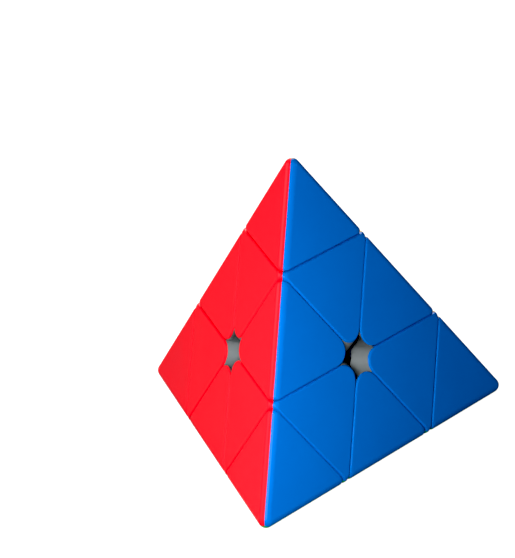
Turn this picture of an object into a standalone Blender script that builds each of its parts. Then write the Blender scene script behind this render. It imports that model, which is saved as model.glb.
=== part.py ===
"""Pyramid twisty puzzle: four turning corner layers with free tips around a hidden four-armed core.

The origin is the point where the four turning axes cross, the base faces down and +Z runs up
through the top tip. Every piece is bounded by planes, cones and spheres about those axes, so
each layer and each tip can really turn.
"""
from math import acos, asin, atan2, cos, degrees, pi, radians, sin, sqrt, tan

import bmesh
import bpy
from mathutils import Matrix, Vector

MM = 0.001

# Overall form, in millimetres.
EDGE = 98.0                      # side of the pyramid, measured to its sharp corners
FACE = EDGE / sqrt(24.0)         # centre to face
LAYER_CUT = 6.52                 # centre to the plane between a corner layer and the rest
TIP_CUT = 32.85                  # centre to the plane between a tip and its axial piece
SEAM = 0.15                      # half of the gap between neighbouring pieces
EDGE_ROUND = 2.0                 # rounding along the outer edges of the pyramid
EDGE_STEPS = 4
AXIAL_STAR = 4.0                 # rounding of an axial piece's corners at the star holes
EDGE_STAR = 4.7                  # the same for an edge piece
STAR_STEPS = 5
BREAK = 0.3                      # chamfer around every coloured facet

# Coloured caps and the bodies under them.
CAP = 1.2                        # thickness of a cap
TIP_CAP = 1.6                    # thickness of a cap on a tip, so that three close its end
CAP_FIT = 0.2                    # space between a cap and the body under it
MITRE = 0.15                     # half of the gap between two caps that meet on an outer edge
PLUG_APEX = 52.0                 # centre to the blunt end of the body in a tip

# Mechanism.
CORE_R = 11.8
ARM_R = 3.5
ARM_END = 14.0
SCREW_HOLE_R = 1.6
SCREW_HOLE_END = 5.6
FOOT_IN = 12.2
FOOT_OUT = 15.3
FOOT_CONE = radians(76.0)        # half angle of the cone that a layer sweeps inside the puzzle
FOOT_FIT = radians(1.0)
CAVITY_R = 15.8
HUB_R = 5.6
HUB_END = 12.0
ARM_BORE_R = 3.9
ARM_BORE_END = 14.4
SHAFT_BORE_R = 1.7
SPRING_SEAT = 17.5
PEG_BORE_R = 3.7
PEG_R = 3.3
PEG_END = 28.4
SHAFT_R = 1.25
SCREW_END = 6.0
HEAD_R = 3.1
HEAD_BOTTOM = 25.0
HEAD_TOP = 27.2
SOCKET_R = 1.3
SOCKET_DEPTH = 1.3
WIRE_R = 0.35
COIL_R = 2.35
SPRING_TURNS = 5.0
SPRING_POINTS = 10               # points in each turn of the spring

# Unit vectors from the centre to the four corners.
CORNERS = {
    "top": Vector((0.0, 0.0, 1.0)),
    "front": Vector((0.0, -sqrt(8.0) / 3.0, -1.0 / 3.0)),
    "right": Vector((sqrt(2.0 / 3.0), sqrt(2.0) / 3.0, -1.0 / 3.0)),
    "left": Vector((-sqrt(2.0 / 3.0), sqrt(2.0) / 3.0, -1.0 / 3.0)),
}

# Each face is named after the corner that it lies opposite.
FACE_COLOURS = {"right": "red", "left": "blue", "front": "yellow", "top": "green"}

# Base colour, metallic, roughness.
MATERIALS = {
    "red": ((0.89, 0.012, 0.028, 1.0), 0.0, 0.38),
    "blue": ((0.0, 0.12, 0.56, 1.0), 0.0, 0.38),
    "yellow": ((0.9, 0.62, 0.01, 1.0), 0.0, 0.38),
    "green": ((0.01, 0.42, 0.07, 1.0), 0.0, 0.38),
    "inner": ((0.3, 0.33, 0.35, 1.0), 0.0, 0.5),
    "core": ((0.03, 0.03, 0.035, 1.0), 0.0, 0.45),
    "steel": ((0.62, 0.62, 0.63, 1.0), 1.0, 0.3),
}


def start_empty_scene():
    for old in list(bpy.data.objects):
        bpy.data.objects.remove(old, do_unlink=True)
    home = bpy.data.collections.new("pyramid_twisty_puzzle")
    bpy.context.scene.collection.children.link(home)
    return home


def make_materials():
    made = {}
    for name, (colour, metallic, roughness) in MATERIALS.items():
        material = bpy.data.materials.new("puzzle_" + name)
        material.use_nodes = True
        shader = material.node_tree.nodes["Principled BSDF"]
        shader.inputs["Base Color"].default_value = colour
        shader.inputs["Metallic"].default_value = metallic
        shader.inputs["Roughness"].default_value = roughness
        material.diffuse_color = colour
        made[name] = material
    return made


def add_object(name, mesh_data, material):
    """Adds an object from a bmesh in millimetres. Its origin is the centre of the puzzle."""
    bmesh.ops.scale(mesh_data, vec=(MM, MM, MM), verts=mesh_data.verts)
    bmesh.ops.recalc_face_normals(mesh_data, faces=mesh_data.faces)
    mesh = bpy.data.meshes.new(name)
    mesh_data.to_mesh(mesh)
    mesh_data.free()
    mesh.materials.append(MADE[material])
    obj = bpy.data.objects.new(name, mesh)
    HOME.objects.link(obj)
    return obj


def shade(obj, angle=32.0):
    mesh = obj.data
    mesh.shade_smooth()
    mesh.set_sharp_from_angle(angle=radians(angle))


def combine(obj, other, operation):
    """Joins or cuts obj with other, keeps the result and drops other."""
    modifier = obj.modifiers.new("shape", "BOOLEAN")
    modifier.operation = operation
    modifier.solver = "EXACT"
    modifier.object = other
    bpy.context.view_layer.update()
    graph = bpy.context.evaluated_depsgraph_get()
    result = bpy.data.meshes.new_from_object(obj.evaluated_get(graph))
    obj.modifiers.clear()
    result.name = obj.name
    obj.data = result
    bpy.data.objects.remove(other, do_unlink=True)


# Planes are pairs: an outward unit normal, and the distance from the centre along it.

def inside(corner, distance):
    return CORNERS[corner], distance


def outside(corner, distance):
    return -CORNERS[corner], -distance


def face(corner, depth=0.0):
    return -CORNERS[corner], FACE - depth


def mitre(corner, other):
    """Keeps the half nearer to the face opposite corner than to the face opposite other."""
    between = (CORNERS[corner] - CORNERS[other]).normalized()
    return between, -MITRE


def rounding(first, second, radius, steps):
    """Planes that wrap the corner between two planes round a cylinder."""
    normal_a, distance_a = first
    normal_b, distance_b = second
    dot = normal_a.dot(normal_b)
    reach_a = distance_a - radius
    reach_b = distance_b - radius
    spread = 1.0 - dot * dot
    centre = normal_a * ((reach_a - dot * reach_b) / spread)
    centre += normal_b * ((reach_b - dot * reach_a) / spread)
    turn = acos(dot)
    planes = []
    for step in range(1, steps + 1):
        angle = turn * step / (steps + 1)
        normal = normal_a * (sin(turn - angle) / sin(turn))
        normal += normal_b * (sin(angle) / sin(turn))
        normal.normalize()
        planes.append((normal, normal.dot(centre) + radius))
    return planes


def chamfer(first, second, width):
    """One plane that takes the sharp edge off the corner between two planes."""
    normal_a, distance_a = first
    normal_b, distance_b = second
    normal = (normal_a + normal_b).normalized()
    size = (normal_a + normal_b).length
    half = (pi - acos(normal_a.dot(normal_b))) / 2.0
    return normal, (distance_a + distance_b) / size - width * cos(half)


def carve(planes):
    """The convex solid inside all the planes."""
    solid = bmesh.new()
    bmesh.ops.create_cube(solid, size=4.0 * EDGE)
    for normal, distance in planes:
        geometry = solid.verts[:] + solid.edges[:] + solid.faces[:]
        bmesh.ops.bisect_plane(
            solid, geom=geometry, dist=1e-5, plane_co=normal * distance,
            plane_no=normal, clear_outer=True,
        )
        bmesh.ops.holes_fill(solid, edges=solid.edges[:])
    bmesh.ops.remove_doubles(solid, verts=solid.verts[:], dist=0.004)
    return solid


def lathe(profile, steps):
    """Turns (radius, height) points about Z. The first and the last point lie on the axis."""
    solid = bmesh.new()
    rings = []
    for radius, height in profile:
        if radius < 1e-6:
            rings.append([solid.verts.new((0.0, 0.0, height))])
            continue
        ring = []
        for step in range(steps):
            angle = 2.0 * pi * (step + 0.5) / steps
            ring.append(solid.verts.new((radius * cos(angle), radius * sin(angle), height)))
        rings.append(ring)
    for upper, lower in zip(rings, rings[1:]):
        for step in range(steps):
            after = (step + 1) % steps
            if len(upper) == 1:
                solid.faces.new((upper[0], lower[step], lower[after]))
            elif len(lower) == 1:
                solid.faces.new((upper[step], lower[0], upper[after]))
            else:
                solid.faces.new((upper[step], lower[step], lower[after], upper[after]))
    return solid


def arc(radius, start, stop, steps):
    """Points of a sphere's outline, with angles in degrees measured from the axis."""
    points = []
    for step in range(steps + 1):
        angle = radians(start + (stop - start) * step / steps)
        points.append((radius * sin(angle), radius * cos(angle)))
    return points


def place(solid, corner):
    """Moves a solid made about +Z to the axis of a corner, by a half turn about an edge axis."""
    if corner != "top":
        axis = (CORNERS["top"] + CORNERS[corner]).normalized()
        turn = Matrix.Rotation(pi, 4, axis)
        bmesh.ops.transform(solid, matrix=turn, verts=solid.verts)
    return solid


def others(*taken):
    return [name for name in CORNERS if name not in taken]


def cap_planes(side, thickness=CAP):
    """The outer and the inner surface of a coloured cap."""
    return [face(side), (CORNERS[side], thickness - FACE)]


def half_round(side, neighbour):
    """The rounded outer edge that a face shares with its neighbour, and the mitre in it."""
    planes = rounding(face(side), face(neighbour), EDGE_ROUND, EDGE_STEPS)
    return planes + [mitre(side, neighbour)]


def blunt_end(corner):
    """Planes that wrap a corner of the pyramid round a ball of the edges' own radius."""
    axis = CORNERS[corner]
    centre = axis * (3.0 * (FACE - EDGE_ROUND))
    normals = [axis]
    for side in others(corner):
        towards_face = -CORNERS[side]
        towards_edge = (axis + CORNERS[side]).normalized()
        normals.append((axis + towards_face).normalized())
        normals.append((axis * 1.3 + towards_edge).normalized())
    return [(normal, normal.dot(centre) + EDGE_ROUND) for normal in normals]


def make_tip(corner):
    bottom = outside(corner, TIP_CUT + SEAM)
    sides = others(corner)
    for side in sides:
        planes = cap_planes(side, TIP_CAP) + [bottom] + blunt_end(corner)
        planes.append(chamfer(face(side), bottom, BREAK))
        for neighbour in others(corner, side):
            planes += half_round(side, neighbour)
        colour = FACE_COLOURS[side]
        cap = add_object("tip_" + corner + "_cap_" + colour, carve(planes), colour)
        shade(cap)
    planes = [face(side, TIP_CAP + CAP_FIT) for side in sides]
    planes += [bottom, (CORNERS[corner], PLUG_APEX)]
    plug = add_object("tip_" + corner + "_plug", carve(planes), "inner")
    peg = [(0.0, TIP_CUT + 3.0), (PEG_R, TIP_CUT + 3.0), (PEG_R, PEG_END + 0.5)]
    peg += [(PEG_R - 0.5, PEG_END), (0.0, PEG_END)]
    combine(plug, add_object("peg", place(lathe(peg, 20), corner), "inner"), "UNION")
    shade(plug)


def cavity_profile():
    """The space inside a layer: a ball, less the hub that stands in it."""
    start = degrees(asin(HUB_R / CAVITY_R))
    points = [(0.0, HUB_END), (HUB_R, HUB_END)]
    points += arc(CAVITY_R, start, 96.0, 10)
    points.append((0.0, CAVITY_R * cos(radians(96.0))))
    return points


def bore_profile():
    """Arm bearing, screw clearance, spring well and peg socket, from the top down."""
    return [
        (0.0, TIP_CUT + 5.0), (PEG_BORE_R, TIP_CUT + 5.0), (PEG_BORE_R, SPRING_SEAT),
        (SHAFT_BORE_R, SPRING_SEAT), (SHAFT_BORE_R, ARM_BORE_END),
        (ARM_BORE_R, ARM_BORE_END), (ARM_BORE_R, HUB_END - 2.0), (0.0, HUB_END - 2.0),
    ]


def make_axial(corner):
    top = inside(corner, TIP_CUT - SEAM)
    sides = others(corner)
    for side in sides:
        first, second = [inside(name, LAYER_CUT - SEAM) for name in others(corner, side)]
        planes = cap_planes(side) + [top, first, second]
        planes += rounding(first, second, AXIAL_STAR, STAR_STEPS)
        for wall in (top, first, second):
            planes.append(chamfer(face(side), wall, BREAK))
        for neighbour in others(corner, side):
            planes += half_round(side, neighbour)
        colour = FACE_COLOURS[side]
        cap = add_object("axial_" + corner + "_cap_" + colour, carve(planes), colour)
        shade(cap)
    walls = [inside(name, LAYER_CUT - SEAM) for name in sides]
    planes = [face(side, CAP + CAP_FIT) for side in sides]
    planes += walls + [top, outside(corner, LAYER_CUT + SEAM)]
    for index in range(3):
        planes += rounding(walls[index], walls[index - 1], AXIAL_STAR, STAR_STEPS)
    body = add_object("axial_" + corner + "_body", carve(planes), "inner")
    hollow = add_object("hollow", place(lathe(cavity_profile(), 24), corner), "inner")
    combine(body, hollow, "DIFFERENCE")
    bore = add_object("bore", place(lathe(bore_profile(), 20), corner), "inner")
    combine(body, bore, "DIFFERENCE")
    shade(body)


def foot_half_width(along, limit):
    """Half width, as an angle, of the lens where the two corner cones overlap."""
    near = cos(radians(54.7356)) * cos(along)
    far = sin(radians(54.7356))
    return acos(cos(limit) / sqrt(near * near + far * far)) - atan2(far, near)


def make_foot(first, second):
    """The curved foot of an edge piece: part of a thick ball, within both layers' cones."""
    up = (CORNERS[first] + CORNERS[second]).normalized()
    across = (CORNERS[first] - CORNERS[second]).normalized()
    ahead = up.cross(across)
    end = radians(125.2644) - FOOT_CONE - FOOT_FIT
    rows = 8
    columns = 4
    solid = bmesh.new()
    grids = []
    for radius in (FOOT_IN, FOOT_OUT):
        grid = []
        for row in range(rows + 1):
            along = end * (2.0 * row / rows - 1.0)
            width = foot_half_width(along, FOOT_CONE - FOOT_FIT)
            line = []
            for column in range(columns + 1):
                side = width * (2.0 * column / columns - 1.0)
                point = across * sin(side)
                point += ahead * (cos(side) * sin(along)) + up * (cos(side) * cos(along))
                line.append(solid.verts.new(point * radius))
            grid.append(line)
        grids.append(grid)
    inner, outer = grids
    for row in range(rows):
        for column in range(columns):
            for grid in grids:
                solid.faces.new((
                    grid[row][column], grid[row][column + 1],
                    grid[row + 1][column + 1], grid[row + 1][column],
                ))
        for column in (0, columns):
            solid.faces.new((
                inner[row][column], inner[row + 1][column],
                outer[row + 1][column], outer[row][column],
            ))
    for row in (0, rows):
        for column in range(columns):
            solid.faces.new((
                inner[row][column], inner[row][column + 1],
                outer[row][column + 1], outer[row][column],
            ))
    return solid


def make_edge(first, second):
    walls = [outside(name, LAYER_CUT + SEAM) for name in (first, second)]
    ridge = rounding(walls[0], walls[1], EDGE_STAR, STAR_STEPS)
    sides = others(first, second)
    label = "edge_" + first + "_" + second
    for side, neighbour in (sides, sides[::-1]):
        planes = cap_planes(side) + walls + ridge + half_round(side, neighbour)
        for wall in walls:
            planes.append(chamfer(face(side), wall, BREAK))
        colour = FACE_COLOURS[side]
        cap = add_object(label + "_cap_" + colour, carve(planes), colour)
        shade(cap)
    planes = walls + ridge + [face(side, CAP + CAP_FIT) for side in sides]
    body = add_object(label + "_body", carve(planes), "inner")
    combine(body, add_object("foot", make_foot(first, second), "inner"), "UNION")
    shade(body)


def make_core():
    ball = lathe([(0.0, CORE_R)] + arc(CORE_R, 15.0, 165.0, 10) + [(0.0, -CORE_R)], 24)
    core = add_object("core", ball, "core")
    for corner in CORNERS:
        profile = [(0.0, ARM_END), (ARM_R, ARM_END), (ARM_R, 6.0), (0.0, 6.0)]
        arm = add_object("arm", place(lathe(profile, 20), corner), "core")
        combine(core, arm, "UNION")
    for corner in CORNERS:
        profile = [(0.0, ARM_END + 1.0), (SCREW_HOLE_R, ARM_END + 1.0)]
        profile += [(SCREW_HOLE_R, SCREW_HOLE_END), (0.0, SCREW_HOLE_END)]
        hole = add_object("hole", place(lathe(profile, 12), corner), "core")
        combine(core, hole, "DIFFERENCE")
    shade(core)


def make_screw(corner):
    profile = [
        (0.0, HEAD_TOP), (HEAD_R - 0.4, HEAD_TOP), (HEAD_R, HEAD_TOP - 0.4),
        (HEAD_R, HEAD_BOTTOM), (SHAFT_R, HEAD_BOTTOM), (SHAFT_R, SCREW_END + 0.8),
        (0.0, SCREW_END),
    ]
    screw = add_object("screw_" + corner, place(lathe(profile, 16), corner), "steel")
    socket = [(0.0, HEAD_TOP + 1.0), (SOCKET_R, HEAD_TOP + 1.0)]
    socket += [(SOCKET_R, HEAD_TOP - SOCKET_DEPTH), (0.0, HEAD_TOP - SOCKET_DEPTH)]
    cutter = add_object("socket", place(lathe(socket, 6), corner), "steel")
    combine(screw, cutter, "DIFFERENCE")
    shade(screw)


def make_spring(corner):
    """A compression spring round the screw, between its head and the seat in the hub."""
    low = SPRING_SEAT + 0.3 + WIRE_R
    high = HEAD_BOTTOM - 0.3 - WIRE_R
    count = int(SPRING_TURNS * SPRING_POINTS)
    turn = Matrix.Identity(3)
    if corner != "top":
        axis = (CORNERS["top"] + CORNERS[corner]).normalized()
        turn = Matrix.Rotation(pi, 3, axis)
    curve = bpy.data.curves.new("spring_" + corner, "CURVE")
    curve.dimensions = "3D"
    curve.bevel_depth = WIRE_R * MM
    curve.bevel_resolution = 1
    curve.use_fill_caps = True
    spline = curve.splines.new("POLY")
    spline.points.add(count)
    for index in range(count + 1):
        angle = 2.0 * pi * index / SPRING_POINTS
        height = low + (high - low) * index / count
        point = turn @ Vector((COIL_R * cos(angle), COIL_R * sin(angle), height))
        spline.points[index].co = (point.x * MM, point.y * MM, point.z * MM, 1.0)
    curve.materials.append(MADE["steel"])
    spring = bpy.data.objects.new("spring_" + corner, curve)
    HOME.objects.link(spring)


HOME = start_empty_scene()
MADE = make_materials()

make_core()
for name in CORNERS:
    make_tip(name)
    make_axial(name)
    make_screw(name)
    make_spring(name)
names = list(CORNERS)
for index, name in enumerate(names):
    for other in names[index + 1:]:
        make_edge(name, other)
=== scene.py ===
"""Looks of the pyramid twisty puzzle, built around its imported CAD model.

Every coloured cap is rebuilt here with smooth rounded rims, and the inner pieces are rebuilt
with finer curves, threads on the screws and round spring wire.
"""
from math import acos, asin, atan2, cos, degrees, pi, radians, sin, sqrt, tan

import bmesh
import bpy
from mathutils import Matrix, Vector


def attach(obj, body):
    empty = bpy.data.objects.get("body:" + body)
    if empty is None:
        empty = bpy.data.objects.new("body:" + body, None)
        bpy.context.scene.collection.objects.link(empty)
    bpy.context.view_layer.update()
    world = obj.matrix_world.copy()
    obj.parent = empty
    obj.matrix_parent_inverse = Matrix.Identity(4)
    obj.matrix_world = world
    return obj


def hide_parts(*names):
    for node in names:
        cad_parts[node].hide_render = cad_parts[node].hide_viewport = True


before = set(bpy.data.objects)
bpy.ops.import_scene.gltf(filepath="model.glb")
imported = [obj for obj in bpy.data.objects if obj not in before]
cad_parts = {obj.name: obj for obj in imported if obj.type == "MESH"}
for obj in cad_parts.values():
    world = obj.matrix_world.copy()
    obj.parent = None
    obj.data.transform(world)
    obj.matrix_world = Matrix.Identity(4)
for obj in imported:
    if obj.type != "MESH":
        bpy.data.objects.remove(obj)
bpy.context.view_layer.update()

MM = 0.001
WELD = 0.000001                 # points closer than this, in metres, are one
LOFT_WELD = 0.000002            # the same for a cap's rings
CARVE_WELD = 0.002              # the same for a carved body, in millimetres
CARVE_TOUCH = 0.00001           # a point this near a cutting plane, in millimetres, lies on it

# The same sizes as the CAD, in millimetres. Heights are measured from the centre of the
# puzzle along the axis of a corner.
EDGE = 98.0                     # sharp edge of the pyramid
FACE = EDGE / sqrt(24.0)        # from the centre to each face
LAYER_CUT = 6.52                # height of the cut under a layer
TIP_CUT = 32.85                 # height of the cut under a tip
SEAM = 0.15                     # half of the gap between two bodies
EDGE_ROUND = 2.0                # rounding of the outer edges
AXIAL_STAR = 4.0                # rounding of the corners at the star holes
EDGE_STAR = 4.7
CAP = 1.2                       # thickness of a cap
TIP_CAP = 1.6
CAP_FIT = 0.2                   # gap between a cap and the body under it
PLUG_APEX = 52.0
CORE_R = 11.8
POLE = 5.0                      # the last step to each pole of the core, in degrees
ARM_R = 3.5
ARM_END = 14.0
ARM_ROOT = 6.0                  # where an arm starts, inside the ball
ARM_BEVEL = 0.3
SCREW_HOLE_R = 1.6
SCREW_HOLE_END = 5.6
FOOT_IN = 12.2                  # an edge piece's foot: a part of a thick ball
FOOT_OUT = 15.3
FOOT_CONE = radians(76.0)
FOOT_FIT = radians(1.0)
CAVITY_R = 15.8                 # room for the feet in an axial piece
HUB_R = 5.6
HUB_END = 12.0
ARM_BORE_R = 3.9
ARM_BORE_END = 14.4
SHAFT_BORE_R = 1.7
SPRING_SEAT = 17.5
PEG_BORE_R = 3.7
PEG_R = 3.3
PEG_END = 28.4
PEG_ROOT = 35.85                # where a peg starts, inside the tip
PEG_RIM = ((0.0, 0.5), (0.15, 0.15), (0.5, 0.0))    # its rounded end: steps inward and up
BORE_TOP = 37.85                # the cutter for a bore reaches past the body at both ends
BORE_FOOT = 10.0
SHAFT_R = 1.25
SCREW_END = 6.0
HEAD_R = 3.1
HEAD_BOTTOM = 25.0
HEAD_TOP = 27.2
HEAD_RIM = ((0.5, 0.0), (0.2, 0.1), (0.0, 0.4))     # its rounded top: steps inward and down
SOCKET_R = 1.3
SOCKET_DEPTH = 1.3
WIRE_R = 0.35
COIL_R = 2.35
SPRING_TURNS = 5.0
SPRING_FIT = 0.3                # gap at both ends of a spring
OVERLAP = 1.0                   # how far a cutter reaches past what it cuts
SOCKET_SIDES = 6
AXIS_TOUCH = 1e-6               # a radius below this is a point on the axis

# Finer than the CAD.
CAP_SEAM = 0.11                 # half of the gap between two caps
TURNED = 72                     # sides of a turned shape
ARC_STEPS = 36
BALL_STEPS = 48
FOOT_ROWS = 36
FOOT_COLUMNS = 20
COIL_POINTS = 40                # points in one turn of a spring
WIRE_STEPS = 4
THREAD = 0.22                   # depth of a screw's thread
THREAD_PITCH = 0.6
GROOVE = 0.5                    # width of each groove of the thread
THREAD_TOP = HEAD_BOTTOM - 8.0
THREAD_FOOT = SCREW_END + 1.2
SCREW_POINT = 0.4               # height of the cone at a screw's end
CAVITY_END = 96.0               # angle of the cavity's rim, in degrees from the axis
SHARP_CAP = radians(38.0)       # edges sharper than this stay crisp
SHARP_INNER = radians(30.0)
CREST = EDGE_ROUND * (1.0 - sqrt(1.0 / 3.0))    # depth of the crest of a rounded outer edge
BALL = 3.0 * (FACE - EDGE_ROUND)                # centre of the ball that rounds a tip
BALL_TOP = FACE - (BALL + EDGE_ROUND) / 3.0     # depth of a tip's end under each facet

TETRA = radians(54.7356)        # between the axis of an edge piece and those of its corners
OPPOSITE = radians(125.2644)
TIP_HALF = radians(60.0)        # half the angle between the two joins at a tip
STAR_SLANT = radians(35.2644)   # half the angle of a star corner, seen along its edge
STAR_STRETCH = sqrt(1.5)        # how much longer its slanting arc comes out on the face

RIM = 0.45                      # rounding of the rim along the seams
JOIN = 0.012                    # half of the fine line where two colours meet
NOTCH = 0.75                    # rounding of a cap's corners at the outer edges
NOTCH_LEAST = 0.03
NOTCH_FADE = 1.5                # how fast that rounding runs out below the crest
LIP = 0.5                       # thickness of a cap at the star hole, over the grey boss
BOSS = 1.4                      # how far the grey boss reaches back from the star corner
BOSS_OVERLAP = 0.05
BOSS_DEPTHS = (LIP + 0.02, 0.7, 0.9, CAP + 0.5)
STAR_POINTS = 20                # steps round each kind of corner
CORNER_POINTS = 8
BALL_POINTS = 24

# Depths under the facet at which a cap's outline is drawn.
DEPTHS = (0.0, 0.006, 0.024, 0.054, 0.1, 0.16, 0.24, 0.33, 0.42, LIP)
DEEPER = (0.6, 0.72, CREST, 0.92, 1.02)
TIP_DEEPER = DEEPER + (1.1, 1.18, 1.25, 1.31, BALL_TOP)

# Looks.
PAINTED_SHADE_FULL = 15.4              # painted shade: the inner plastic turns from dark to grey between these distances from the centre, in millimetres
PAINTED_SHADE_END = 15.8             # distances from the centre, in millimetres
# colour of the painted shade deep inside the puzzle
PAINTED_SHADE_GREY = (0.045, 0.05, 0.075, 1.0)
SPECULAR = 0.1
MOTTLE_SCALE = 90.0
GRAIN_SCALE = 4200.0
GRAIN_DEPTH = 0.0001
MARK_SCALE = 2500.0
MARK_SMOOTH = 0.08              # how far the turning marks move the roughness down and up
MARK_ROUGH = 0.12
GLOSS_SPREAD = 0.05             # the same for the mottle of the plastic
CAP_ROUGHNESS = 0.42
WHITE = (1.0, 1.0, 1.0, 1.0)
BLACK_LEVEL = 0.018             # the grading takes this off every colour

# The stage, in metres.
FLOOR_HALF = 6.0
FLOOR_GAP = 0.0001
FLOOR_GREY = (0.3, 0.3, 0.3, 1.0)
FLOOR_LIFT = 1.0                # what the floor adds to look white to the camera
FLOOR_ROUGHNESS = 0.9
AMBIENT = 0.045                 # light of the surround
TARGET = (0.0, 0.0, 0.01)
# Each light: its name, place, width in metres and power in watts.
LIGHTS = (
    ("key", (0.015, -0.16, 0.08), 0.06, 0.355),
    ("left", (-0.35, -0.1, 0.2), 0.2, 1.0),
    ("back", (-0.12, 0.5, 0.35), 0.3, 3.2),
)
CAMERA_YAW = radians(13.87)
CAMERA_PITCH = radians(25.09)
CAMERA_ROLL = radians(-3.78)
CAMERA_PLACE = (-0.01181, 0.0207, 0.79821)      # right, up and back, in the camera's axes
CAMERA_LENS = 218.17
SENSOR = 36.0
CLIP_END = 30.0

CORNERS = {
    "top": Vector((0.0, 0.0, 1.0)),
    "front": Vector((0.0, -sqrt(8.0) / 3.0, -1.0 / 3.0)),
    "right": Vector((sqrt(2.0 / 3.0), sqrt(2.0) / 3.0, -1.0 / 3.0)),
    "left": Vector((-sqrt(2.0 / 3.0), sqrt(2.0) / 3.0, -1.0 / 3.0)),
}
FACE_COLOURS = {"right": "red", "left": "blue", "front": "yellow", "top": "green"}


def others(*taken):
    """The corners that are left when some are taken."""
    return [name for name in CORNERS if name not in taken]


# ---------------------------------------------------------------- materials

def plastic(name, colour, roughness, mottle=0.04, grain=0.035):
    """Moulded plastic: a faint mottle in colour and gloss, and a fine moulded grain."""
    material = bpy.data.materials.new(name)
    material.use_nodes = True
    nodes = material.node_tree.nodes
    links = material.node_tree.links
    shader = nodes["Principled BSDF"]
    shader.inputs["Specular IOR Level"].default_value = SPECULAR
    place = nodes.new("ShaderNodeTexCoord")
    broad = nodes.new("ShaderNodeTexNoise")
    broad.inputs["Scale"].default_value = MOTTLE_SCALE
    broad.inputs["Detail"].default_value = 4.0
    links.new(place.outputs["Object"], broad.inputs["Vector"])
    tint = nodes.new("ShaderNodeMix")
    tint.data_type = "RGBA"
    tint.inputs["A"].default_value = [c * (1.0 - mottle) for c in colour] + [1.0]
    tint.inputs["B"].default_value = [min(1.0, c * (1.0 + mottle)) for c in colour] + [1.0]
    links.new(broad.outputs["Fac"], tint.inputs["Factor"])
    links.new(tint.outputs["Result"], shader.inputs["Base Color"])
    gloss = nodes.new("ShaderNodeMapRange")
    gloss.inputs["To Min"].default_value = roughness - GLOSS_SPREAD
    gloss.inputs["To Max"].default_value = roughness + GLOSS_SPREAD
    links.new(broad.outputs["Fac"], gloss.inputs["Value"])
    links.new(gloss.outputs["Result"], shader.inputs["Roughness"])
    fine = nodes.new("ShaderNodeTexNoise")
    fine.inputs["Scale"].default_value = GRAIN_SCALE
    fine.inputs["Detail"].default_value = 2.0
    links.new(place.outputs["Object"], fine.inputs["Vector"])
    bump = nodes.new("ShaderNodeBump")
    bump.inputs["Strength"].default_value = grain
    bump.inputs["Distance"].default_value = GRAIN_DEPTH
    links.new(fine.outputs["Fac"], bump.inputs["Height"])
    links.new(bump.outputs["Normal"], shader.inputs["Normal"])
    return material


def paint_shade_inside(material):
    """Painted shade: the inner plastic gets darker towards the middle of the puzzle, under the
    outer pieces.
    """
    nodes = material.node_tree.nodes
    links = material.node_tree.links
    place = nodes.new("ShaderNodeTexCoord")
    reach = nodes.new("ShaderNodeVectorMath")
    reach.operation = "LENGTH"
    links.new(place.outputs["Object"], reach.inputs[0])
    depth = nodes.new("ShaderNodeMapRange")
    depth.inputs["From Min"].default_value = PAINTED_SHADE_FULL * MM
    depth.inputs["From Max"].default_value = PAINTED_SHADE_END * MM
    depth.inputs["To Min"].default_value = 1.0
    depth.inputs["To Max"].default_value = 0.0
    links.new(reach.outputs["Value"], depth.inputs["Value"])
    shade = nodes.new("ShaderNodeMix")
    shade.data_type = "RGBA"
    shade.inputs["B"].default_value = PAINTED_SHADE_GREY
    links.new(depth.outputs["Result"], shade.inputs["Factor"])
    shader = nodes["Principled BSDF"]
    links.new(shader.inputs["Base Color"].links[0].from_socket, shade.inputs["A"])
    links.new(shade.outputs["Result"], shader.inputs["Base Color"])
    return material


def metal(name, colour, roughness):
    """Plated steel with fine turning marks."""
    material = bpy.data.materials.new(name)
    material.use_nodes = True
    nodes = material.node_tree.nodes
    links = material.node_tree.links
    shader = nodes["Principled BSDF"]
    shader.inputs["Base Color"].default_value = colour + (1.0,)
    shader.inputs["Metallic"].default_value = 1.0
    place = nodes.new("ShaderNodeTexCoord")
    marks = nodes.new("ShaderNodeTexNoise")
    marks.inputs["Scale"].default_value = MARK_SCALE
    marks.inputs["Detail"].default_value = 3.0
    links.new(place.outputs["Object"], marks.inputs["Vector"])
    gloss = nodes.new("ShaderNodeMapRange")
    gloss.inputs["To Min"].default_value = roughness - MARK_SMOOTH
    gloss.inputs["To Max"].default_value = roughness + MARK_ROUGH
    links.new(marks.outputs["Fac"], gloss.inputs["Value"])
    links.new(gloss.outputs["Result"], shader.inputs["Roughness"])
    return material


COLOURS = {
    "red": plastic("cap_red", (0.93, 0.013, 0.026), CAP_ROUGHNESS),
    "blue": plastic("cap_blue", (0.0, 0.15, 0.58), CAP_ROUGHNESS),
    "yellow": plastic("cap_yellow", (0.9, 0.58, 0.0), CAP_ROUGHNESS),
    "green": plastic("cap_green", (0.005, 0.4, 0.06), CAP_ROUGHNESS),
}
# Grey inner plastic with painted shade, darker towards the middle of the puzzle.
INNER = paint_shade_inside(plastic("inner_grey_painted_shade", (0.165, 0.185, 0.19), 0.55))
# The core is black plastic; its dark colour also stands in for the shade deep inside the star
# holes, so it is partly painted shade.
DARK = plastic("core_black", (0.02, 0.02, 0.022), 0.5)
STEEL = metal("steel", (0.6, 0.6, 0.61), 0.3)


# ---------------------------------------------------------------- caps

def rim_inset(depth, slope, radius):
    """How far the outline lies inside a wall at a depth, with the rim rounded."""
    length = sqrt(1.0 + slope * slope)
    end = radius * (1.0 + slope / length)
    if depth >= end:
        return slope * depth, 0.0
    centre = radius * (length + slope)
    inset = centre - sqrt(max(0.0, radius * radius - (radius - depth) ** 2))
    return inset, inset - slope * depth


def edge_inset(depth):
    """The same for a rounded outer edge of the pyramid, down to the line between colours."""
    slope = sqrt(2.0)
    line = slope * depth + JOIN * sqrt(3.0)
    if depth > EDGE_ROUND:
        return line
    curve = slope * EDGE_ROUND - sqrt(EDGE_ROUND ** 2 - (EDGE_ROUND - depth) ** 2)
    return max(curve, line)


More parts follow.
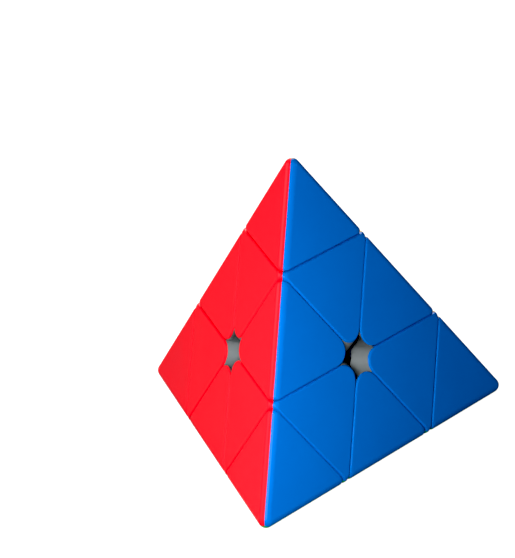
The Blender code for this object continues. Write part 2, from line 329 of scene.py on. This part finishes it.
def cap_sides(side, walls, neighbours):
    """The sides of a cap's outline, in the plane of its face, in turning order."""
    normal = -CORNERS[side]
    towards = CORNERS[others(side)[0]]
    first = (towards - normal * towards.dot(normal)).normalized()
    second = normal.cross(first)
    origin = normal * FACE
    found = []
    for plane, distance in walls:
        across = Vector((plane.dot(first), plane.dot(second)))
        share = across.length
        found.append({
            "across": across / share,
            "reach": (distance - plane.dot(origin)) / share,
            "slope": plane.dot(-normal) / share,
            "kind": "wall",
            "star": AXIAL_STAR if distance > 0.0 else EDGE_STAR,
        })
    for name in neighbours:
        plane = -CORNERS[name]
        across = Vector((plane.dot(first), plane.dot(second)))
        share = across.length
        found.append({
            "across": across / share,
            "reach": (FACE - plane.dot(origin)) / share,
            "kind": "edge",
        })
    found.sort(key=lambda item: atan2(item["across"].y, item["across"].x))
    return found, origin, first, second, normal


def meeting(before, after, reach_a, reach_b):
    """The corner where two lines of the outline meet, in the plane of the face."""
    a = before["across"]
    b = after["across"]
    dot = a.dot(b)
    spread = 1.0 - dot * dot
    return a * ((reach_a - dot * reach_b) / spread) + b * ((reach_b - dot * reach_a) / spread)


def corner_points(before, after, reach_a, reach_b, radius, count, stretch):
    """Points round one corner of the outline. Stretch lengthens the arc along its bisector."""
    tip = meeting(before, after, reach_a, reach_b)
    out = (before["across"] + after["across"]).normalized()
    aside = Vector((-out.y, out.x))
    half = (pi - acos(before["across"].dot(after["across"]))) / 2.0
    slant = atan2(tan(half) * stretch, 1.0)
    swing = pi / 2.0 - slant
    points = []
    for index in range(count + 1):
        angle = swing * (2.0 * index / count - 1.0)
        back = (radius / sin(slant) - radius * cos(angle)) * stretch
        points.append(tip - out * back + aside * (radius * sin(angle)))
    return points


def ball_points(before, after, depth, count):
    """Points round the end of a tip: the ball that rounds it, between the two joins."""
    inner = sqrt(2.0) * EDGE_ROUND
    centre = meeting(before, after, before["reach"] - inner, after["reach"] - inner)
    join = sqrt(2.0) * (EDGE_ROUND - depth) - JOIN * sqrt(3.0)
    radius = sqrt(max(0.0, EDGE_ROUND ** 2 - (EDGE_ROUND - depth) ** 2))
    out = (before["across"] + after["across"]).normalized()
    aside = Vector((-out.y, out.x))
    swing = acos(before["across"].dot(after["across"])) / 2.0
    if radius > join:
        swing = swing - acos(join / radius)
    if swing < 0.0:
        return [centre + out * (join / cos(TIP_HALF))] * (count + 1)
    points = []
    for index in range(count + 1):
        angle = swing * (2.0 * index / count - 1.0)
        points.append(centre + out * (radius * cos(angle)) + aside * (radius * sin(angle)))
    return points


def notch_radius(depth):
    """The rounding at the ends of an outer edge runs out below the crest."""
    if depth <= CREST:
        return NOTCH
    left = max(0.0, 1.0 - (depth - CREST) / (CAP - CREST))
    return max(NOTCH_LEAST, NOTCH * left ** NOTCH_FADE)


def outline(sides, depth):
    """A cap's outline at a depth under its facet, with all its corners rounded."""
    reaches = []
    shaved = []
    for item in sides:
        if item["kind"] == "edge":
            reaches.append(item["reach"] - edge_inset(depth))
            shaved.append(0.0)
        else:
            inset, rim = rim_inset(depth, item["slope"], RIM)
            reaches.append(item["reach"] - inset)
            shaved.append(rim)
    points = []
    for index, item in enumerate(sides):
        following = (index + 1) % len(sides)
        after = sides[following]
        kinds = (item["kind"], after["kind"])
        if kinds == ("edge", "edge"):
            points += ball_points(item, after, depth, BALL_POINTS)
            continue
        sharp = item["across"].dot(after["across"]) < 0.0
        stretch = 1.0
        count = CORNER_POINTS
        radius = notch_radius(depth)
        if kinds == ("wall", "wall") and sharp:
            radius = item["star"] - shaved[index]
            stretch = STAR_STRETCH
            count = STAR_POINTS
        points += corner_points(
            item, after, reaches[index], reaches[following], radius, count, stretch,
        )
    return points


def star_corner(sides):
    """The two walls of the star corner, the way out between them, and how far it reaches."""
    for index, item in enumerate(sides):
        after = sides[(index + 1) % len(sides)]
        if item["kind"] == after["kind"] == "wall" and item["across"].dot(after["across"]) < 0.0:
            out = (item["across"] + after["across"]).normalized()
            reach = meeting(item, after, item["reach"], after["reach"]).dot(out)
            recess = item["star"] * STAR_STRETCH * (1.0 / sin(STAR_SLANT) - 1.0)
            return item, after, out, reach - recess
    return None


def cut_back(points, out, limit):
    """Draws the outline back to a line across the star corner."""
    return [p - out * max(0.0, p.dot(out) - limit) for p in points]


def boss_outline(star, depth):
    """The star corner beyond the line that the cap is drawn back to."""
    before, after, out, reach = star
    limit = reach - BOSS + BOSS_OVERLAP
    aside = Vector((-out.y, out.x))
    reach_a = before["reach"] - before["slope"] * depth
    reach_b = after["reach"] - after["slope"] * depth
    points = corner_points(
        before, after, reach_a, reach_b, before["star"], STAR_POINTS, STAR_STRETCH,
    )
    ends = []
    for item, far in ((before, reach_a), (after, reach_b)):
        along = (far - item["across"].dot(out) * limit) / item["across"].dot(aside)
        ends.append(out * limit + aside * along)
    return [ends[0]] + points + [ends[1]]


def loft(rings):
    """Joins rings of points into one closed body."""
    solid = bmesh.new()
    made = [[solid.verts.new(place * MM) for place in ring] for ring in rings]
    solid.faces.new(made[0])
    for upper, lower in zip(made, made[1:]):
        for index in range(len(upper)):
            after = (index + 1) % len(upper)
            solid.faces.new((upper[index], lower[index], lower[after], upper[after]))
    solid.faces.new(made[-1][::-1])
    bmesh.ops.remove_doubles(solid, verts=solid.verts, dist=LOFT_WELD)
    bmesh.ops.recalc_face_normals(solid, faces=solid.faces)
    return solid


def add_piece(name, solid, material, body):
    """A new piece of the looks, riding on a body."""
    mesh = bpy.data.meshes.new(name)
    solid.to_mesh(mesh)
    solid.free()
    mesh.shade_smooth()
    mesh.set_sharp_from_angle(angle=SHARP_CAP)
    mesh.materials.append(material)
    piece = bpy.data.objects.new(name, mesh)
    bpy.context.scene.collection.objects.link(piece)
    weighted = piece.modifiers.new("flat facet", "WEIGHTED_NORMAL")
    weighted.keep_sharp = True
    weighted.weight = 100
    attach(piece, body)
    return piece


def build_cap(name, side, walls, neighbours, colour, body):
    """One coloured cap: rings of its outline from the flat facet down to its back."""
    sides, origin, first, second, normal = cap_sides(side, walls, neighbours)
    star = star_corner(sides)
    levels = [(depth, False) for depth in DEPTHS]
    if star is None:
        levels += [(depth, False) for depth in TIP_DEEPER + (TIP_CAP,)]
    else:
        levels += [(depth, True) for depth in (LIP,) + DEEPER + (CAP,)]
    rings = []
    for depth, cut in levels:
        flat = outline(sides, depth)
        if cut:
            flat = cut_back(flat, star[2], star[3] - BOSS)
        rings.append([origin + first * p.x + second * p.y - normal * depth for p in flat])
    cap = add_piece(name, loft(rings), COLOURS[colour], body)
    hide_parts(name.replace("shell", "cap"))
    if star is None:
        return
    rings = []
    for depth in BOSS_DEPTHS:
        flat = boss_outline(star, depth)
        rings.append([origin + first * p.x + second * p.y - normal * depth for p in flat])
    add_piece(name.replace("shell", "boss"), loft(rings), INNER, body)


def inside(corner, distance):
    """The plane that keeps what lies nearer the centre than a cut across a corner's axis."""
    return CORNERS[corner], distance


def outside(corner, distance):
    """The plane that keeps what lies beyond a cut across a corner's axis."""
    return -CORNERS[corner], -distance


def build_caps():
    """The 36 coloured caps, and the bosses at their star corners."""
    names = list(CORNERS)
    for corner in names:
        for side in others(corner):
            colour = FACE_COLOURS[side]
            pair = others(corner, side)
            build_cap(
                "tip_" + corner + "_shell_" + colour, side,
                [outside(corner, TIP_CUT + CAP_SEAM)], pair, colour, "tip_" + corner,
            )
            walls = [inside(name, LAYER_CUT - CAP_SEAM) for name in pair]
            walls.append(inside(corner, TIP_CUT - CAP_SEAM))
            build_cap(
                "axial_" + corner + "_shell_" + colour, side, walls, pair, colour,
                "axial_" + corner,
            )
    for index, one in enumerate(names):
        for two in names[index + 1:]:
            label = "edge_" + one + "_" + two
            walls = [outside(name, LAYER_CUT + CAP_SEAM) for name in (one, two)]
            for side in others(one, two):
                colour = FACE_COLOURS[side]
                build_cap(
                    label + "_shell_" + colour, side, walls, others(one, two, side),
                    colour, label,
                )


# ---------------------------------------------------------------- inner pieces

def rounding(first, second, radius, steps):
    """Planes that wrap the corner between two planes round a cylinder."""
    normal_a, distance_a = first
    normal_b, distance_b = second
    dot = normal_a.dot(normal_b)
    reach_a = distance_a - radius
    reach_b = distance_b - radius
    spread = 1.0 - dot * dot
    centre = normal_a * ((reach_a - dot * reach_b) / spread)
    centre += normal_b * ((reach_b - dot * reach_a) / spread)
    turn = acos(dot)
    planes = []
    for step in range(1, steps + 1):
        angle = turn * step / (steps + 1)
        normal = normal_a * (sin(turn - angle) / sin(turn))
        normal += normal_b * (sin(angle) / sin(turn))
        normal.normalize()
        planes.append((normal, normal.dot(centre) + radius))
    return planes


def carve(planes):
    """The convex solid inside all the planes."""
    solid = bmesh.new()
    bmesh.ops.create_cube(solid, size=4.0 * EDGE)
    for normal, distance in planes:
        geometry = solid.verts[:] + solid.edges[:] + solid.faces[:]
        bmesh.ops.bisect_plane(
            solid, geom=geometry, dist=CARVE_TOUCH, plane_co=normal * distance,
            plane_no=normal, clear_outer=True,
        )
        bmesh.ops.holes_fill(solid, edges=solid.edges[:])
    bmesh.ops.remove_doubles(solid, verts=solid.verts[:], dist=CARVE_WELD)
    return solid


def lathe(profile, steps):
    """Turns (radius, height) points about Z. The first and the last point lie on the axis."""
    solid = bmesh.new()
    rings = []
    for radius, height in profile:
        if radius < AXIS_TOUCH:
            rings.append([solid.verts.new((0.0, 0.0, height))])
            continue
        ring = []
        for step in range(steps):
            angle = 2.0 * pi * (step + 0.5) / steps
            ring.append(solid.verts.new((radius * cos(angle), radius * sin(angle), height)))
        rings.append(ring)
    for upper, lower in zip(rings, rings[1:]):
        for step in range(steps):
            after = (step + 1) % steps
            if len(upper) == 1:
                solid.faces.new((upper[0], lower[step], lower[after]))
            elif len(lower) == 1:
                solid.faces.new((upper[step], lower[0], upper[after]))
            else:
                solid.faces.new((upper[step], lower[step], lower[after], upper[after]))
    return solid


def arc(radius, start, stop, steps):
    """Points of a sphere's outline, with angles in degrees measured from the axis."""
    points = []
    for step in range(steps + 1):
        angle = radians(start + (stop - start) * step / steps)
        points.append((radius * sin(angle), radius * cos(angle)))
    return points


def place(solid, corner):
    """Moves a solid made about +Z to the axis of a corner, by a half turn about an edge axis."""
    if corner != "top":
        axis = (CORNERS["top"] + CORNERS[corner]).normalized()
        turn = Matrix.Rotation(pi, 4, axis)
        bmesh.ops.transform(solid, matrix=turn, verts=solid.verts)
    return solid


def foot_half_width(along, limit):
    """Half width, as an angle, of the lens where the two corner cones overlap."""
    near = cos(TETRA) * cos(along)
    far = sin(TETRA)
    return acos(cos(limit) / sqrt(near * near + far * far)) - atan2(far, near)


def make_foot(first, second):
    """The curved foot of an edge piece: part of a thick ball, within both layers' cones."""
    up = (CORNERS[first] + CORNERS[second]).normalized()
    across = (CORNERS[first] - CORNERS[second]).normalized()
    ahead = up.cross(across)
    end = OPPOSITE - FOOT_CONE - FOOT_FIT
    rows = FOOT_ROWS
    columns = FOOT_COLUMNS
    solid = bmesh.new()
    grids = []
    for radius in (FOOT_IN, FOOT_OUT):
        grid = []
        for row in range(rows + 1):
            along = end * (2.0 * row / rows - 1.0)
            width = foot_half_width(along, FOOT_CONE - FOOT_FIT)
            line = []
            for column in range(columns + 1):
                side = width * (2.0 * column / columns - 1.0)
                point = across * sin(side)
                point += ahead * (cos(side) * sin(along)) + up * (cos(side) * cos(along))
                line.append(solid.verts.new(point * radius))
            grid.append(line)
        grids.append(grid)
    inner, outer = grids
    for row in range(rows):
        for column in range(columns):
            for grid in grids:
                solid.faces.new((
                    grid[row][column], grid[row][column + 1],
                    grid[row + 1][column + 1], grid[row + 1][column],
                ))
        for column in (0, columns):
            solid.faces.new((
                inner[row][column], inner[row + 1][column],
                outer[row + 1][column], outer[row][column],
            ))
    for row in (0, rows):
        for column in range(columns):
            solid.faces.new((
                inner[row][column], inner[row][column + 1],
                outer[row][column + 1], outer[row][column],
            ))
    return solid


def as_mesh_object(name, solid):
    """A plain object from a bmesh in millimetres, for the Boolean steps."""
    bmesh.ops.scale(solid, vec=(MM, MM, MM), verts=solid.verts)
    bmesh.ops.recalc_face_normals(solid, faces=solid.faces)
    mesh = bpy.data.meshes.new(name)
    solid.to_mesh(mesh)
    solid.free()
    obj = bpy.data.objects.new(name, mesh)
    bpy.context.scene.collection.objects.link(obj)
    return obj


def weld(mesh):
    """Merges points that lie on one another and turns every face outwards."""
    solid = bmesh.new()
    solid.from_mesh(mesh)
    bmesh.ops.remove_doubles(solid, verts=solid.verts, dist=WELD)
    bmesh.ops.recalc_face_normals(solid, faces=solid.faces)
    solid.to_mesh(mesh)
    solid.free()


def combine(obj, solid, operation):
    """Joins or cuts obj with a solid, and keeps the result."""
    other = as_mesh_object("cutter", solid)
    modifier = obj.modifiers.new("shape", "BOOLEAN")
    modifier.operation = operation
    modifier.solver = "EXACT"
    modifier.object = other
    graph = bpy.context.evaluated_depsgraph_get()
    result = bpy.data.meshes.new_from_object(obj.evaluated_get(graph))
    weld(result)
    obj.modifiers.clear()
    obj.data = result
    bpy.data.objects.remove(other, do_unlink=True)


def finish_piece(obj, material, body):
    """Smooth shading, material and place in the assembly for a piece that replaces a node."""
    mesh = obj.data
    mesh.shade_smooth()
    mesh.set_sharp_from_angle(angle=SHARP_INNER)
    mesh.materials.clear()
    mesh.materials.append(material)
    weighted = obj.modifiers.new("even shading", "WEIGHTED_NORMAL")
    weighted.keep_sharp = True
    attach(obj, body)
    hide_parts(obj.name.replace("_fine", ""))


def inner_face(side, thickness):
    """The flat side of an inner body, under the caps of a face."""
    return -CORNERS[side], FACE - thickness - CAP_FIT


def build_plug(corner):
    """The body of a tip, with the peg that it turns on."""
    bottom = outside(corner, TIP_CUT + SEAM)
    planes = [inner_face(side, TIP_CAP) for side in others(corner)]
    planes += [bottom, (CORNERS[corner], PLUG_APEX)]
    plug = as_mesh_object("tip_" + corner + "_plug_fine", carve(planes))
    peg = [(0.0, PEG_ROOT), (PEG_R, PEG_ROOT)]
    peg += [(PEG_R - inward, PEG_END + up) for inward, up in PEG_RIM]
    peg.append((0.0, PEG_END))
    combine(plug, place(lathe(peg, TURNED), corner), "UNION")
    finish_piece(plug, INNER, "tip_" + corner)


def build_axial_body(corner):
    """The hub of a layer: hollow for the feet, and bored for the peg, the spring and the arm."""
    sides = others(corner)
    walls = [inside(name, LAYER_CUT - SEAM) for name in sides]
    planes = [inner_face(side, CAP) for side in sides] + walls
    planes += [inside(corner, TIP_CUT - SEAM), outside(corner, LAYER_CUT + SEAM)]
    for index in range(3):
        planes += rounding(walls[index], walls[index - 1], AXIAL_STAR, STAR_POINTS)
    body = as_mesh_object("axial_" + corner + "_body_fine", carve(planes))
    start = degrees(asin(HUB_R / CAVITY_R))
    cavity = [(0.0, HUB_END), (HUB_R, HUB_END)] + arc(CAVITY_R, start, CAVITY_END, ARC_STEPS)
    cavity.append((0.0, CAVITY_R * cos(radians(CAVITY_END))))
    combine(body, place(lathe(cavity, TURNED), corner), "DIFFERENCE")
    bore = [
        (0.0, BORE_TOP), (PEG_BORE_R, BORE_TOP), (PEG_BORE_R, SPRING_SEAT),
        (SHAFT_BORE_R, SPRING_SEAT), (SHAFT_BORE_R, ARM_BORE_END),
        (ARM_BORE_R, ARM_BORE_END), (ARM_BORE_R, BORE_FOOT), (0.0, BORE_FOOT),
    ]
    combine(body, place(lathe(bore, TURNED), corner), "DIFFERENCE")
    finish_piece(body, INNER, "axial_" + corner)


def build_edge_body(first, second):
    """The body of an edge piece, with its foot."""
    walls = [outside(name, LAYER_CUT + SEAM) for name in (first, second)]
    planes = walls + rounding(walls[0], walls[1], EDGE_STAR, STAR_POINTS)
    planes += [inner_face(side, CAP) for side in others(first, second)]
    label = "edge_" + first + "_" + second
    body = as_mesh_object(label + "_body_fine", carve(planes))
    combine(body, make_foot(first, second), "UNION")
    finish_piece(body, INNER, label)


def build_core():
    """The ball in the middle, with an arm and a screw hole towards each corner."""
    around = arc(CORE_R, POLE, 180.0 - POLE, BALL_STEPS)
    profile = [(0.0, CORE_R)] + around + [(0.0, -CORE_R)]
    core = as_mesh_object("core_fine", lathe(profile, TURNED))
    for corner in CORNERS:
        arm = [(0.0, ARM_END), (ARM_R - ARM_BEVEL, ARM_END), (ARM_R, ARM_END - ARM_BEVEL)]
        arm += [(ARM_R, ARM_ROOT), (0.0, ARM_ROOT)]
        combine(core, place(lathe(arm, TURNED), corner), "UNION")
    for corner in CORNERS:
        hole = [(0.0, ARM_END + OVERLAP), (SCREW_HOLE_R, ARM_END + OVERLAP)]
        hole += [(SCREW_HOLE_R, SCREW_HOLE_END), (0.0, SCREW_HOLE_END)]
        combine(core, place(lathe(hole, TURNED), corner), "DIFFERENCE")
    finish_piece(core, DARK, "core")


def build_screw(corner):
    """A screw with a rounded head, a six-sided socket and a thread of close rings."""
    profile = [(0.0, HEAD_TOP)]
    profile += [(HEAD_R - inward, HEAD_TOP - down) for inward, down in HEAD_RIM]
    profile += [(HEAD_R, HEAD_BOTTOM), (SHAFT_R, HEAD_BOTTOM)]
    height = THREAD_TOP
    while height > THREAD_FOOT:
        profile += [(SHAFT_R, height), (SHAFT_R - THREAD, height - GROOVE / 2.0)]
        profile += [(SHAFT_R, height - GROOVE)]
        height -= THREAD_PITCH
    profile += [(SHAFT_R - THREAD, SCREW_END + SCREW_POINT), (0.0, SCREW_END)]
    screw = as_mesh_object("screw_" + corner + "_fine", place(lathe(profile, TURNED), corner))
    socket = [(0.0, HEAD_TOP + OVERLAP), (SOCKET_R, HEAD_TOP + OVERLAP)]
    socket += [(SOCKET_R, HEAD_TOP - SOCKET_DEPTH), (0.0, HEAD_TOP - SOCKET_DEPTH)]
    combine(screw, place(lathe(socket, SOCKET_SIDES), corner), "DIFFERENCE")
    finish_piece(screw, STEEL, "core")


def build_spring(corner):
    """A compression spring round the screw, between its head and the seat in the hub."""
    low = SPRING_SEAT + SPRING_FIT + WIRE_R
    high = HEAD_BOTTOM - SPRING_FIT - WIRE_R
    count = int(SPRING_TURNS * COIL_POINTS)
    turn = Matrix.Identity(3)
    if corner != "top":
        axis = (CORNERS["top"] + CORNERS[corner]).normalized()
        turn = Matrix.Rotation(pi, 3, axis)
    curve = bpy.data.curves.new("spring_" + corner + "_fine", "CURVE")
    curve.dimensions = "3D"
    curve.bevel_depth = WIRE_R * MM
    curve.bevel_resolution = WIRE_STEPS
    curve.use_fill_caps = True
    spline = curve.splines.new("POLY")
    spline.points.add(count)
    for index in range(count + 1):
        angle = 2.0 * pi * index / COIL_POINTS
        height = low + (high - low) * index / count
        point = turn @ Vector((COIL_R * cos(angle), COIL_R * sin(angle), height))
        spline.points[index].co = (point.x * MM, point.y * MM, point.z * MM, 1.0)
    helix = bpy.data.objects.new("helix", curve)
    bpy.context.scene.collection.objects.link(helix)
    graph = bpy.context.evaluated_depsgraph_get()
    mesh = bpy.data.meshes.new_from_object(helix.evaluated_get(graph))
    bpy.data.objects.remove(helix, do_unlink=True)
    weld(mesh)
    spring = bpy.data.objects.new("spring_" + corner + "_fine", mesh)
    bpy.context.scene.collection.objects.link(spring)
    finish_piece(spring, STEEL, "core")


def build_inner_pieces():
    """Everything under the caps."""
    names = list(CORNERS)
    build_core()
    for corner in names:
        build_plug(corner)
        build_axial_body(corner)
        build_screw(corner)
        build_spring(corner)
    for index, one in enumerate(names):
        for two in names[index + 1:]:
            build_edge_body(one, two)


# ---------------------------------------------------------------- stage

def add_floor():
    """A white floor: paler to the camera than in reflections, so the plastic keeps its colour."""
    mesh = bpy.data.meshes.new("floor")
    half = FLOOR_HALF
    mesh.from_pydata(
        [(-half, -half, 0.0), (half, -half, 0.0), (half, half, 0.0), (-half, half, 0.0)],
        [], [(0, 1, 2, 3)],
    )
    floor = bpy.data.objects.new("floor", mesh)
    floor.location.z = -FACE * MM - FLOOR_GAP
    bpy.context.scene.collection.objects.link(floor)
    material = bpy.data.materials.new("floor_white")
    material.use_nodes = True
    nodes = material.node_tree.nodes
    links = material.node_tree.links
    shader = nodes["Principled BSDF"]
    shader.inputs["Base Color"].default_value = FLOOR_GREY
    shader.inputs["Roughness"].default_value = FLOOR_ROUGHNESS
    shader.inputs["Specular IOR Level"].default_value = SPECULAR
    shader.inputs["Emission Color"].default_value = WHITE
    path = nodes.new("ShaderNodeLightPath")
    lift = nodes.new("ShaderNodeMath")
    lift.operation = "MULTIPLY"
    lift.inputs[1].default_value = FLOOR_LIFT
    links.new(path.outputs["Is Camera Ray"], lift.inputs[0])
    links.new(lift.outputs["Value"], shader.inputs["Emission Strength"])
    mesh.materials.append(material)


def add_light(name, place, size, power):
    """A round soft light aimed at the puzzle, hidden from the camera."""
    data = bpy.data.lights.new(name, "AREA")
    data.shape = "DISK"
    data.size = size
    data.energy = power
    light = bpy.data.objects.new(name, data)
    light.location = place
    light.visible_camera = False
    aim = Vector(TARGET) - Vector(place)
    light.rotation_euler = aim.to_track_quat("-Z", "Y").to_euler()
    bpy.context.scene.collection.objects.link(light)


def add_world():
    """A white surround for the camera, which gives only a little light."""
    world = bpy.data.worlds.new("studio")
    world.use_nodes = True
    nodes = world.node_tree.nodes
    links = world.node_tree.links
    light = nodes["Background"]
    light.inputs["Color"].default_value = WHITE
    light.inputs["Strength"].default_value = AMBIENT
    shown = nodes.new("ShaderNodeBackground")
    shown.inputs["Color"].default_value = WHITE
    shown.inputs["Strength"].default_value = 1.0
    path = nodes.new("ShaderNodeLightPath")
    mix = nodes.new("ShaderNodeMixShader")
    links.new(path.outputs["Is Camera Ray"], mix.inputs["Fac"])
    links.new(light.outputs["Background"], mix.inputs[1])
    links.new(shown.outputs["Background"], mix.inputs[2])
    links.new(mix.outputs["Shader"], nodes["World Output"].inputs["Surface"])
    bpy.context.scene.world = world


def add_camera():
    """The camera looks at the front edge from the right and above, with a slight roll."""
    across = cos(CAMERA_PITCH)
    back = Vector((
        sin(CAMERA_YAW) * across, -cos(CAMERA_YAW) * across, sin(CAMERA_PITCH),
    ))
    level = Vector((cos(CAMERA_YAW), sin(CAMERA_YAW), 0.0))
    rise = back.cross(level)
    right = level * cos(CAMERA_ROLL) + rise * sin(CAMERA_ROLL)
    up = rise * cos(CAMERA_ROLL) - level * sin(CAMERA_ROLL)
    data = bpy.data.cameras.new("camera")
    data.sensor_fit = "HORIZONTAL"
    data.sensor_width = SENSOR
    data.lens = CAMERA_LENS
    data.clip_end = CLIP_END
    camera = bpy.data.objects.new("camera", data)
    place = right * CAMERA_PLACE[0] + up * CAMERA_PLACE[1] + back * CAMERA_PLACE[2]
    turn = Matrix((right, up, back)).transposed().to_4x4()
    camera.matrix_world = Matrix.Translation(place) @ turn
    bpy.context.scene.collection.objects.link(camera)
    bpy.context.scene.camera = camera


build_caps()
build_inner_pieces()
add_floor()
add_world()
for light_name, light_place, light_size, light_power in LIGHTS:
    add_light(light_name, light_place, light_size, light_power)
add_camera()
grading = bpy.context.scene.view_settings
grading.view_transform = "Standard"
grading.use_curve_mapping = True
grading.curve_mapping.black_level = (BLACK_LEVEL, BLACK_LEVEL, BLACK_LEVEL)
grading.curve_mapping.update()
